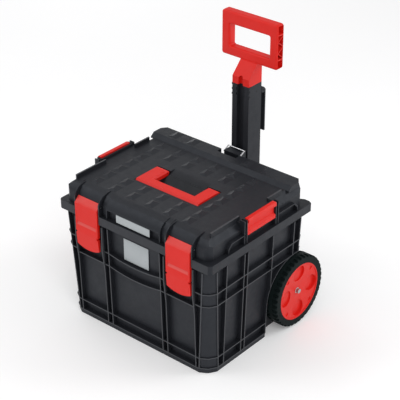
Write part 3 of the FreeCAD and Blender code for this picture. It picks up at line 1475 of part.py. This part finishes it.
def bail_arm(x):
    """A straight wire from the bail's pivot to its bar."""
    arm = doc.addObject("Part::Cylinder", "bail_arm")
    bind(arm, "Radius", "wire_radius")
    bind(arm, "Height", "sqrt(bail_climb * bail_climb + bail_run * bail_run)")
    arm.Placement = FreeCAD.Placement(FreeCAD.Vector(), FreeCAD.Rotation(-ALONG["X"], UNSET))
    bind(arm, "Placement.Rotation.Angle", "atan2(bail_run; bail_climb)")
    place(arm, x, "bail_pin_y", "bail_pin_z")
    return arm


def make_bail():
    """A wire bail on a block in front of the column."""
    axis = ("bail_pin_y", "bail_pin_z")
    bar_line = ("bail_bar_y", "bail_bar_z")
    block = box("block_solid", about("0", "block_half"), ("block_front_y", "guide_front_y"),
                ("block_low_z", "block_top_z"))
    bores = [rod("block_bore", "X", "wire_radius + pin_play",
                 sided(side, "block_half - bail_bore", "block_half + overrun"), axis) for side in BOTH_SIDES]
    keep(cut("bail_block", block, bores), "bail_block")

    wires = [rod("bail_bar", "X", "wire_radius", about("0", "bail_half"), bar_line)]
    for side in BOTH_SIDES:
        x = f"{side} * bail_half"
        ends = sided(side, "block_half - bail_bore + slip", "bail_half")
        wires.append(rod("bail_end", "X", "wire_radius", ends, axis))
        wires.append(bail_arm(x))
        wires += [ball("bail_bend", "wire_radius", (x, *line)) for line in (axis, bar_line)]
    keep(fuse("lock_bail", wires), "lock_bail")


fill_sheet()
make_bin()
make_tyre()
make_hub()
make_bush()
make_axle()
make_lid()
make_latches()
make_lid_handle()
make_clips()
make_guide()
make_column()
make_grip()
make_lever()
make_bail()

doc.recompute()
failed = [item.Name for item in doc.Objects if "Invalid" in item.State or "Error" in item.State]
failed += [item.Label for item in nodes if item.Shape.isNull() or not item.Shape.isValid()]
if failed:
    raise RuntimeError("failed: " + ", ".join(failed))
os.makedirs("parts", exist_ok=True)
for item in nodes:
    item.Shape.exportStep(f"parts/{item.Label}.step")
    print(item.Label, len(item.Shape.Solids), "solid", round(item.Shape.Volume), "mm3")
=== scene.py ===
import json
import math
from collections import namedtuple

import bmesh
import bpy
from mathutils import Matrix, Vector


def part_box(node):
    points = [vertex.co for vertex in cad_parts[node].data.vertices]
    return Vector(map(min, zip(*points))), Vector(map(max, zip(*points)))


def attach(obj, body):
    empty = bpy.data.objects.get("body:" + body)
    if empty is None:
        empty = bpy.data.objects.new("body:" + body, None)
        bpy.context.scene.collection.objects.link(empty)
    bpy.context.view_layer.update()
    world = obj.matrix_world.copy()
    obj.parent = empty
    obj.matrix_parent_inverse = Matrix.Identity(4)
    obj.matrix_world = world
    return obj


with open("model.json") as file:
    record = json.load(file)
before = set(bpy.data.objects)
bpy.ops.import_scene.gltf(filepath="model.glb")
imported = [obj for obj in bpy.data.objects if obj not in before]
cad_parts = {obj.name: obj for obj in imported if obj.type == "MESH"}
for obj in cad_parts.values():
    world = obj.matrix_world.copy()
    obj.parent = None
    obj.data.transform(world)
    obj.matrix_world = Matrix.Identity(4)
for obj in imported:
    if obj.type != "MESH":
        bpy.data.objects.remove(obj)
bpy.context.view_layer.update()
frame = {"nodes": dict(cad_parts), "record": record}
nodes = frame["nodes"]
record = frame["record"]

MM = 0.001


# Material nodes

Finish = namedtuple("Finish", "material tree shader coords")


def new_finish(name):
    """A new material with its node tree, its shader and its object coordinates."""
    material = bpy.data.materials.new(name)
    material.use_nodes = True
    tree = material.node_tree
    coords = tree.nodes.new("ShaderNodeTexCoord")
    return Finish(material, tree, tree.nodes["Principled BSDF"], coords.outputs["Object"])


def noise(tree, coords, scale, detail=3.0, roughness=0.55):
    node = tree.nodes.new("ShaderNodeTexNoise")
    node.inputs["Scale"].default_value = scale
    node.inputs["Detail"].default_value = detail
    node.inputs["Roughness"].default_value = roughness
    tree.links.new(coords, node.inputs["Vector"])
    return node.outputs["Fac"]


def spread(tree, value, low, high, start=0.0, end=1.0):
    """Map a value from one span to another."""
    node = tree.nodes.new("ShaderNodeMapRange")
    for socket, number in (("From Min", start), ("From Max", end), ("To Min", low), ("To Max", high)):
        node.inputs[socket].default_value = number
    tree.links.new(value, node.inputs["Value"])
    return node.outputs["Result"]


def blend(tree, share, first, second):
    """Mix two colours, each a fixed colour or a socket, by a share."""
    node = tree.nodes.new("ShaderNodeMix")
    node.data_type = "RGBA"
    colours = [socket for socket in node.inputs if socket.type == "RGBA"]
    for socket, colour in zip(colours, (first, second)):
        if isinstance(colour, tuple):
            socket.default_value = (*colour, 1.0)
        else:
            tree.links.new(colour, socket)
    tree.links.new(share, node.inputs["Factor"])
    return next(socket for socket in node.outputs if socket.type == "RGBA")


def combine(tree, operation, *values):
    """The result of a math operation on one or two sockets."""
    node = tree.nodes.new("ShaderNodeMath")
    node.operation = operation
    for socket, value in zip(node.inputs, values):
        tree.links.new(value, socket)
    return node.outputs[0]


def product(tree, first, *others):
    result = first
    for value in others:
        result = combine(tree, "MULTIPLY", result, value)
    return result


def bump(finish, height, strength, distance):
    node = finish.tree.nodes.new("ShaderNodeBump")
    node.inputs["Strength"].default_value = strength
    node.inputs["Distance"].default_value = distance * MM
    finish.tree.links.new(height, node.inputs["Height"])
    finish.tree.links.new(node.outputs["Normal"], finish.shader.inputs["Normal"])


def set_colour(finish, colour):
    finish.tree.links.new(colour, finish.shader.inputs["Base Color"])


def colour_of(finish):
    return finish.shader.inputs["Base Color"].links[0].from_socket


def places(finish):
    """The object coordinates one by one: across, back and up."""
    parts = finish.tree.nodes.new("ShaderNodeSeparateXYZ")
    finish.tree.links.new(finish.coords, parts.inputs["Vector"])
    return parts.outputs["X"], parts.outputs["Y"], parts.outputs["Z"]


# Materials

DRIFT_SCALE = 14.0
MOTTLE_SPAN = (0.3, 0.7)
SCUFF_NOISE = (60.0, 6.0, 0.7)
SCUFF_LESS = 0.06
SCUFF_MORE = 0.08
GRAIN_DETAIL = 2.0
GRAIN_HEIGHT = 0.3


def moulded(name, dark, light, rough, grain, strength):
    """Moulded plastic: a fine grain, slow colour drift, and scuffs that change its gloss."""
    finish = new_finish(name)
    tree, coords = finish.tree, finish.coords
    drift = spread(tree, noise(tree, coords, DRIFT_SCALE), 0.0, 1.0, *MOTTLE_SPAN)
    set_colour(finish, blend(tree, drift, dark, light))
    scuff = noise(tree, coords, *SCUFF_NOISE)
    gloss = spread(tree, scuff, rough - SCUFF_LESS, rough + SCUFF_MORE, *MOTTLE_SPAN)
    tree.links.new(gloss, finish.shader.inputs["Roughness"])
    bump(finish, noise(tree, coords, grain, GRAIN_DETAIL), strength, GRAIN_HEIGHT)
    return finish


BLACK_DARK = (0.0098, 0.0106, 0.0136)
BLACK_LIGHT = (0.0132, 0.0141, 0.0176)
# A lighter black for the painted highlights on rib tops and rail tops.
BLACK_HIGHLIGHT = (0.052, 0.053, 0.058)
BLACK_GRAIN = (1400.0, 0.22)
BLACK_ROUGH = 0.50
BLACK_GLOSS = 0.36
COOL_GLOSS = (0.84, 0.90, 1.0, 1.0)


def black(name, dark=BLACK_DARK, light=BLACK_LIGHT, rough=BLACK_ROUGH, gloss=BLACK_GLOSS):
    """Black plastic with a cool gloss."""
    finish = moulded(name, dark, light, rough, *BLACK_GRAIN)
    finish.shader.inputs["Specular IOR Level"].default_value = gloss
    finish.shader.inputs["Specular Tint"].default_value = COOL_GLOSS
    return finish


# A lighter black for the column: painted light on its shaded front faces.
COLUMN_DARK = (0.014, 0.015, 0.018)
COLUMN_LIGHT = (0.018, 0.019, 0.023)
COLUMN_ROUGH = 0.54
COLUMN_GLOSS = 0.30

# Planes of the bin's rib tops: weights of |x|, y and z, and the sum in millimetres that lies on the plane.
RIB_PLANES = (
    ((1.0, 0.0, -0.0324), 213.0),
    ((0.0, -1.0, -0.0324), 164.0),
    ((0.0, 1.0, 0.0), 173.0),
    ((0.5226, -0.8526, -0.0596), 235.5),
    ((0.8526, -0.5226, -0.0596), 251.6),
    ((0.5226, 0.8526, -0.0320), 243.1),
    ((0.8526, 0.5226, -0.0426), 256.3),
)
# Painted highlight on the rib tops: millimetres inside each plane where it starts and where it is full.
RIB_HIGHLIGHT_SPAN = (0.9, 0.3)


def ribbed_plastic():
    """The bin's black plastic, with a painted highlight on the narrow tops of its ribs."""
    finish = black("ribbed_plastic")
    tree = finish.tree
    across, back, up = places(finish)
    folded = tree.nodes.new("ShaderNodeCombineXYZ")
    for socket, place in zip(folded.inputs, (combine(tree, "ABSOLUTE", across), back, up)):
        tree.links.new(place, socket)
    tops = []
    for weights, reach in RIB_PLANES:
        along = tree.nodes.new("ShaderNodeVectorMath")
        along.operation = "DOT_PRODUCT"
        along.inputs[1].default_value = weights
        tree.links.new(folded.outputs["Vector"], along.inputs[0])
        start, end = ((reach - inset) * MM for inset in RIB_HIGHLIGHT_SPAN)
        tops.append(spread(tree, along.outputs["Value"], 0.0, 1.0, start, end))
    highlight = tops[0]
    for near in tops[1:]:
        highlight = combine(tree, "MAXIMUM", highlight, near)
    set_colour(finish, blend(tree, highlight, colour_of(finish), BLACK_HIGHLIGHT))
    return finish.material


# Rail tops and rim of the lid, with painted highlight and painted light, and the finger well behind its
# handle, with painted shade: spans in millimetres.
RAIL_TOP = (358.2, 358.8)
RAIL_AFT = (112.0, 116.0)
RIM_FACE = (-175.8, -175.2)
# A lighter black: painted light on the front face of the rim.
RIM_PAINTED_LIGHT = (0.024, 0.025, 0.029)
WELL_HALF = (57.0, 58.5)
WELL_FRONT = (-46.0, -44.0)
WELL_REACH = (4.0, 36.0)
WELL_DEPTH = (349.0, 349.9)
# Painted shade: a near-black for the finger well.
WELL_SHADE = (0.0020, 0.0021, 0.0025)


def lid_plastic():
    """The lid's black plastic, with painted highlights on its rails, painted light on its front rim, and
    painted shade in the finger well.
    """
    finish = black("lid_plastic")
    tree = finish.tree
    across, back, up = places(finish)
    away = combine(tree, "ABSOLUTE", across)

    def rise(value, span):
        return spread(tree, value, 0.0, 1.0, span[0] * MM, span[1] * MM)

    def fall(value, span):
        return spread(tree, value, 1.0, 0.0, span[0] * MM, span[1] * MM)

    rail_highlight = product(tree, rise(up, RAIL_TOP), fall(back, RAIL_AFT))
    well_shade = product(
        tree,
        fall(away, WELL_HALF),
        fall(up, WELL_DEPTH),
        rise(back, WELL_FRONT),
        fall(back, WELL_REACH),
    )
    colour = blend(tree, rail_highlight, colour_of(finish), BLACK_HIGHLIGHT)
    colour = blend(tree, fall(back, RIM_FACE), colour, RIM_PAINTED_LIGHT)
    set_colour(finish, blend(tree, well_shade, colour, WELL_SHADE))
    return finish.material


RED_DARK = (0.68, 0.011, 0.006)
RED_LIGHT = (0.72, 0.014, 0.008)
# A lighter, pinker red: painted sheen on latch faces that catch the light.
RED_SHEEN = (0.70, 0.080, 0.072)
RED_ROUGH = 0.42
RED_GRAIN = (1600.0, 0.10)
RED_GLOSS = 0.26


def red(name):
    finish = moulded(name, RED_DARK, RED_LIGHT, RED_ROUGH, *RED_GRAIN)
    finish.shader.inputs["Specular IOR Level"].default_value = RED_GLOSS
    return finish


# Finger ledge and top slope of a latch, which get a painted sheen: millimetres down from its top, back from
# its face, in from its sides.
LEDGE_LOW = (71.0, 70.0)
LEDGE_HIGH = (60.4, 59.9)
LEDGE_BACK = (0.2, 0.9)
LEDGE_SIDE = (3.2, 4.2)
SLOPE_LOW = (15.0, 9.0)
SLOPE_SHARE = 0.5


def latch_plastic(node):
    """The red plastic of a latch, with a painted sheen on its finger ledge and along its top slope."""
    finish = red(f"{node}_plastic")
    tree = finish.tree
    low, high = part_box(node)
    across, back, up = places(finish)

    def beside(value, wall, way, span, first=0.0, last=1.0):
        """A share that changes over a span of distances from a wall, which lie one way from it."""
        return spread(tree, value, first, last, wall + way * span[0] * MM, wall + way * span[1] * MM)

    ledge = product(
        tree,
        beside(up, high[2], -1, LEDGE_LOW),
        beside(up, high[2], -1, LEDGE_HIGH, 1.0, 0.0),
        beside(back, low[1], 1, LEDGE_BACK),
        beside(across, low[0], 1, LEDGE_SIDE),
        beside(across, high[0], -1, LEDGE_SIDE),
    )
    colour = blend(tree, ledge, colour_of(finish), RED_SHEEN)
    slope = beside(up, high[2], -1, SLOPE_LOW, 0.0, SLOPE_SHARE)
    set_colour(finish, blend(tree, slope, colour, RED_SHEEN))
    return finish.material


TYRE_DARK = (0.0036, 0.0080, 0.0082)
TYRE_LIGHT = (0.0058, 0.0108, 0.0110)
TYRE_ROUGH = 0.70
TYRE_GRAIN = (900.0, 0.35)
TYRE_GLOSS = 0.13


def tyre_plastic():
    finish = moulded("tyre_plastic", TYRE_DARK, TYRE_LIGHT, TYRE_ROUGH, *TYRE_GRAIN)
    finish.shader.inputs["Specular IOR Level"].default_value = TYRE_GLOSS
    return finish.material


DRAWN_STRETCH = (0.1, 1.0, 1.0)
DRAWN_SCALE = 400.0
DRAWN_SHADE = 0.82
DRAWN_LESS = 0.06
DRAWN_MORE = 0.1
DRAWN_STRENGTH = 0.08
DRAWN_HEIGHT = 0.2


def metal(name, colour, rough):
    """Metal with fine drawn lines along X."""
    finish = new_finish(name)
    tree, shader = finish.tree, finish.shader
    shader.inputs["Metallic"].default_value = 1.0
    mapping = tree.nodes.new("ShaderNodeMapping")
    mapping.inputs["Scale"].default_value = DRAWN_STRETCH
    tree.links.new(finish.coords, mapping.inputs["Vector"])
    lines = noise(tree, mapping.outputs["Vector"], DRAWN_SCALE)
    darker = tuple(DRAWN_SHADE * part for part in colour)
    set_colour(finish, blend(tree, lines, darker, colour))
    tree.links.new(spread(tree, lines, rough - DRAWN_LESS, rough + DRAWN_MORE), shader.inputs["Roughness"])
    bump(finish, lines, DRAWN_STRENGTH, DRAWN_HEIGHT)
    return finish.material


PLAIN_STRENGTH = 0.06


def plain(name, dark, light, rough, grain):
    return moulded(name, dark, light, rough, grain, PLAIN_STRENGTH).material


MATERIALS = {
    "black_plastic": black("black_plastic").material,
    "red_plastic": red("red_plastic").material,
    "steel": metal("zinc_steel", (0.46, 0.46, 0.47), 0.34),
    "wire": metal("bright_wire", (0.62, 0.62, 0.64), 0.24),
    "tyre": tyre_plastic(),
    "bush": plain("bush_plastic", (0.50, 0.50, 0.48), (0.56, 0.56, 0.54), 0.45, 900.0),
    "seal": plain("seal_rubber", (0.018, 0.018, 0.018), (0.026, 0.026, 0.026), 0.70, 700.0),
    "blank_plate": plain("blank_film", (0.36, 0.39, 0.405), (0.41, 0.44, 0.455), 0.32, 500.0),
}


def paint(obj, material):
    obj.data.materials.clear()
    obj.data.materials.append(material)


def paint_nodes():
    """Give each CAD node its slot's material, or one of its own."""
    for part in record["subparts"]:
        paint(nodes[part["node"]], MATERIALS[part["material_slot"]])
    paint(nodes["bin_shell"], ribbed_plastic())
    paint(nodes["lid_shell"], lid_plastic())
    # The column gets the lighter black: painted light on its shaded front.
    column = black("column_lit_plastic", COLUMN_DARK, COLUMN_LIGHT, COLUMN_ROUGH, COLUMN_GLOSS)
    paint(nodes["column_tube"], column.material)
    for latch in ("latch_left", "latch_right"):
        paint(nodes[latch], latch_plastic(latch))
    dark_steel = metal("dark_steel", (0.030, 0.030, 0.032), 0.42)
    for pin in ("grip_pin", "lever_pin"):
        paint(nodes[pin], dark_steel)


paint_nodes()


# Soft edges on the CAD nodes, by modifiers alone: widths in millimetres

SOFT_EDGES = {
    "bin_shell": 0.5,
    "lid_shell": 0.9,
    "latch_left": 1.2,
    "latch_right": 1.2,
    "lid_handle": 1.2,
    "side_clip_left": 0.9,
    "side_clip_right": 0.9,
    "column_tube": 1.0,
    "handle_guide": 0.8,
    "bail_block": 1.0,
    "lever_bracket": 0.8,
    "rear_lever": 1.0,
    "wheel_hub_left": 0.7,
    "wheel_hub_right": 0.7,
    "lid_badge": 0.3,
    "bin_label": 0.15,
}
WELD_REACH = 0.005
FLAT_ANGLE = 0.5
EDGE_ANGLE = 28.0
EDGE_SEGMENTS = 2
SHADE_WEIGHT = 90


def add_bevel(obj, width, angle):
    edge = obj.modifiers.new("Edge", "BEVEL")
    edge.width = width * MM
    edge.segments = EDGE_SEGMENTS
    edge.limit_method = "ANGLE"
    edge.angle_limit = math.radians(angle)
    return edge


def soften(obj, width):
    """Join the split faces of a node, round its sharp edges and even out its shading."""
    weld = obj.modifiers.new("Weld", "WELD")
    weld.merge_threshold = WELD_REACH * MM
    flat = obj.modifiers.new("Flat", "DECIMATE")
    flat.decimate_type = "DISSOLVE"
    flat.angle_limit = math.radians(FLAT_ANGLE)
    edge = add_bevel(obj, width, EDGE_ANGLE)
    edge.use_clamp_overlap = True
    edge.harden_normals = False
    shade = obj.modifiers.new("Shade", "WEIGHTED_NORMAL")
    shade.keep_sharp = False
    shade.weight = SHADE_WEIGHT


for node, width in SOFT_EDGES.items():
    soften(nodes[node], width)


# Tread pads on the lid: places and sizes in millimetres

PAD_WIDTH = 24.0
PAD_DEPTH = 30.0
PAD_RISE = 2.6
PAD_SINK = 0.4
PAD_EDGE = -0.05
PAD_BEVEL = 0.5
PAD_BEVEL_ANGLE = 4.0
RIDGE_BACK = 8.0
RIDGE_FRONT = 11.0
TAPER_BACK = 6.0
TAPER_FRONT = 9.0
DECK_Z = 350.0
BAR_Z = 359.0
BAR_PAD_Y = 149.0
PAD_COLUMNS = (-164.0, -109.6, -55.2, -0.8, 53.6, 108.0)
PAD_ROWS = (102.0, 65.0, 28.0, -9.0, -46.0, -83.0, -120.0)
SIDE_COLUMNS = (0, 5)
BAR_COLUMNS = (0, 1, 4, 5)
END_ROWS = (0, 1, 5, 6)


def tread_pad(mesh, left, middle, floor):
    """A low wedge with a ridge near its left side, steep to the left and gentle to the right."""
    back, front = middle + PAD_DEPTH / 2, middle - PAD_DEPTH / 2
    low, ridge, edge = floor - PAD_SINK, floor + PAD_RISE, floor + PAD_EDGE
    right = left + PAD_WIDTH
    top = [
        (left, back, edge), (left + RIDGE_BACK, back - TAPER_BACK, ridge),
        (right, back, edge), (right, front, edge),
        (left + RIDGE_FRONT, front + TAPER_FRONT, ridge), (left, front, edge),
    ]
    base = [(left, back, low), (right, back, low), (right, front, low), (left, front, low)]
    upper = [mesh.verts.new(Vector(point) * MM) for point in top]
    lower = [mesh.verts.new(Vector(point) * MM) for point in base]
    faces = [
        (upper[0], upper[5], upper[4], upper[1]),
        (upper[1], upper[4], upper[3], upper[2]),
        (upper[0], upper[1], upper[2]),
        (upper[5], upper[3], upper[4]),
        (lower[0], lower[3], upper[5], upper[0]),
        (lower[1], lower[0], upper[0], upper[2]),
        (lower[2], lower[1], upper[2], upper[3]),
        (lower[3], lower[2], upper[3], upper[5]),
        (lower[0], lower[1], lower[2], lower[3]),
    ]
    for face in faces:
        mesh.faces.new(face)


def make_pads():
    """Pads on the deck round the carrying handle, and on the rear bar beside the bail."""
    mesh = bmesh.new()
    for column, left in enumerate(PAD_COLUMNS):
        for row, middle in enumerate(PAD_ROWS):
            if column in SIDE_COLUMNS or row in END_ROWS:
                tread_pad(mesh, left, middle, DECK_Z)
        if column in BAR_COLUMNS:
            tread_pad(mesh, left, BAR_PAD_Y, BAR_Z)
    bmesh.ops.recalc_face_normals(mesh, faces=mesh.faces)
    data = bpy.data.meshes.new("deck_pads")
    mesh.to_mesh(data)
    mesh.free()
    pads = bpy.data.objects.new("deck_pads", data)
    bpy.context.scene.collection.objects.link(pads)
    paint(pads, MATERIALS["black_plastic"])
    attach(pads, "lid")
    add_bevel(pads, PAD_BEVEL, PAD_BEVEL_ANGLE)


make_pads()


# Floor, light and camera: metres, watts and degrees, with sensor and lens in millimetres

FLOOR_HALF = 12.0
FLOOR_Z = -0.0004
FLOOR_DARK = (0.93, 0.93, 0.935)
FLOOR_LIGHT = (0.95, 0.95, 0.955)
FLOOR_DRIFT = 3.0
FLOOR_ROUGH = 0.9
FLOOR_GLOSS = 0.1
FLOOR_GLOW = 0.15
WHITE = (1.0, 1.0, 1.0, 1.0)


def make_floor():
    mesh = bpy.data.meshes.new("floor")
    corners = [(-1, -1), (1, -1), (1, 1), (-1, 1)]
    mesh.from_pydata([(x * FLOOR_HALF, y * FLOOR_HALF, FLOOR_Z) for x, y in corners], [], [(0, 1, 2, 3)])
    floor = bpy.data.objects.new("floor", mesh)
    bpy.context.scene.collection.objects.link(floor)
    finish = new_finish("pale_floor")
    tree, shader = finish.tree, finish.shader
    faint = spread(tree, noise(tree, finish.coords, FLOOR_DRIFT), 0.0, 1.0)
    set_colour(finish, blend(tree, faint, FLOOR_DARK, FLOOR_LIGHT))
    shader.inputs["Roughness"].default_value = FLOOR_ROUGH
    shader.inputs["Specular IOR Level"].default_value = FLOOR_GLOSS
    shader.inputs["Emission Color"].default_value = WHITE
    shader.inputs["Emission Strength"].default_value = FLOOR_GLOW
    mesh.materials.append(finish.material)


SKY_STRENGTH = 0.58
LIGHT_TARGET = (0.0, 0.05, 0.3)
# Each light's name, place, size and power.
LIGHTS = (
    ("key", (-1.8, 0.2, 2.6), 1.2, 6.0),
    ("front", (-1.6, -1.6, 2.2), 1.4, 15.5),
    ("side", (1.9, 1.7, 1.9), 1.4, 21.0),
    ("top", (1.8, -1.4, 2.2), 1.4, 20.0),
    ("low", (-2.4, 2.2, 0.5), 1.2, 7.5),
)


def soft_light(name, place, size, power):
    light = bpy.data.lights.new(name, "AREA")
    light.shape = "DISK"
    light.size = size
    light.energy = power
    obj = bpy.data.objects.new(name, light)
    obj.location = place
    way = Vector(place) - Vector(LIGHT_TARGET)
    obj.rotation_euler = way.to_track_quat("Z", "Y").to_euler()
    bpy.context.scene.collection.objects.link(obj)


def make_light():
    world = bpy.data.worlds.new("studio")
    bpy.context.scene.world = world
    world.use_nodes = True
    background = world.node_tree.nodes["Background"]
    background.inputs["Color"].default_value = WHITE
    background.inputs["Strength"].default_value = SKY_STRENGTH
    for light in LIGHTS:
        soft_light(*light)


CAMERA_SENSOR = 36.0
CAMERA_LENS = 120.17
CAMERA_TURN = 40.29
CAMERA_RISE = 29.98
CAMERA_TARGET = (0.0, 0.0562, 0.2785)
CAMERA_DISTANCE = 3.0793


def make_camera():
    camera = bpy.data.cameras.new("camera")
    camera.sensor_width = CAMERA_SENSOR
    camera.lens = CAMERA_LENS
    obj = bpy.data.objects.new("camera", camera)
    turn, rise = math.radians(CAMERA_TURN), math.radians(CAMERA_RISE)
    back = Vector((math.sin(turn) * math.cos(rise), -math.cos(turn) * math.cos(rise), math.sin(rise)))
    obj.location = Vector(CAMERA_TARGET) + back * CAMERA_DISTANCE
    obj.rotation_euler = back.to_track_quat("Z", "Y").to_euler()
    bpy.context.scene.collection.objects.link(obj)
    bpy.context.scene.camera = obj


make_floor()
make_light()
make_camera()
settings = bpy.context.scene.view_settings
settings.view_transform = "Standard"
settings.look = "None"

bpy.context.view_layer.update()
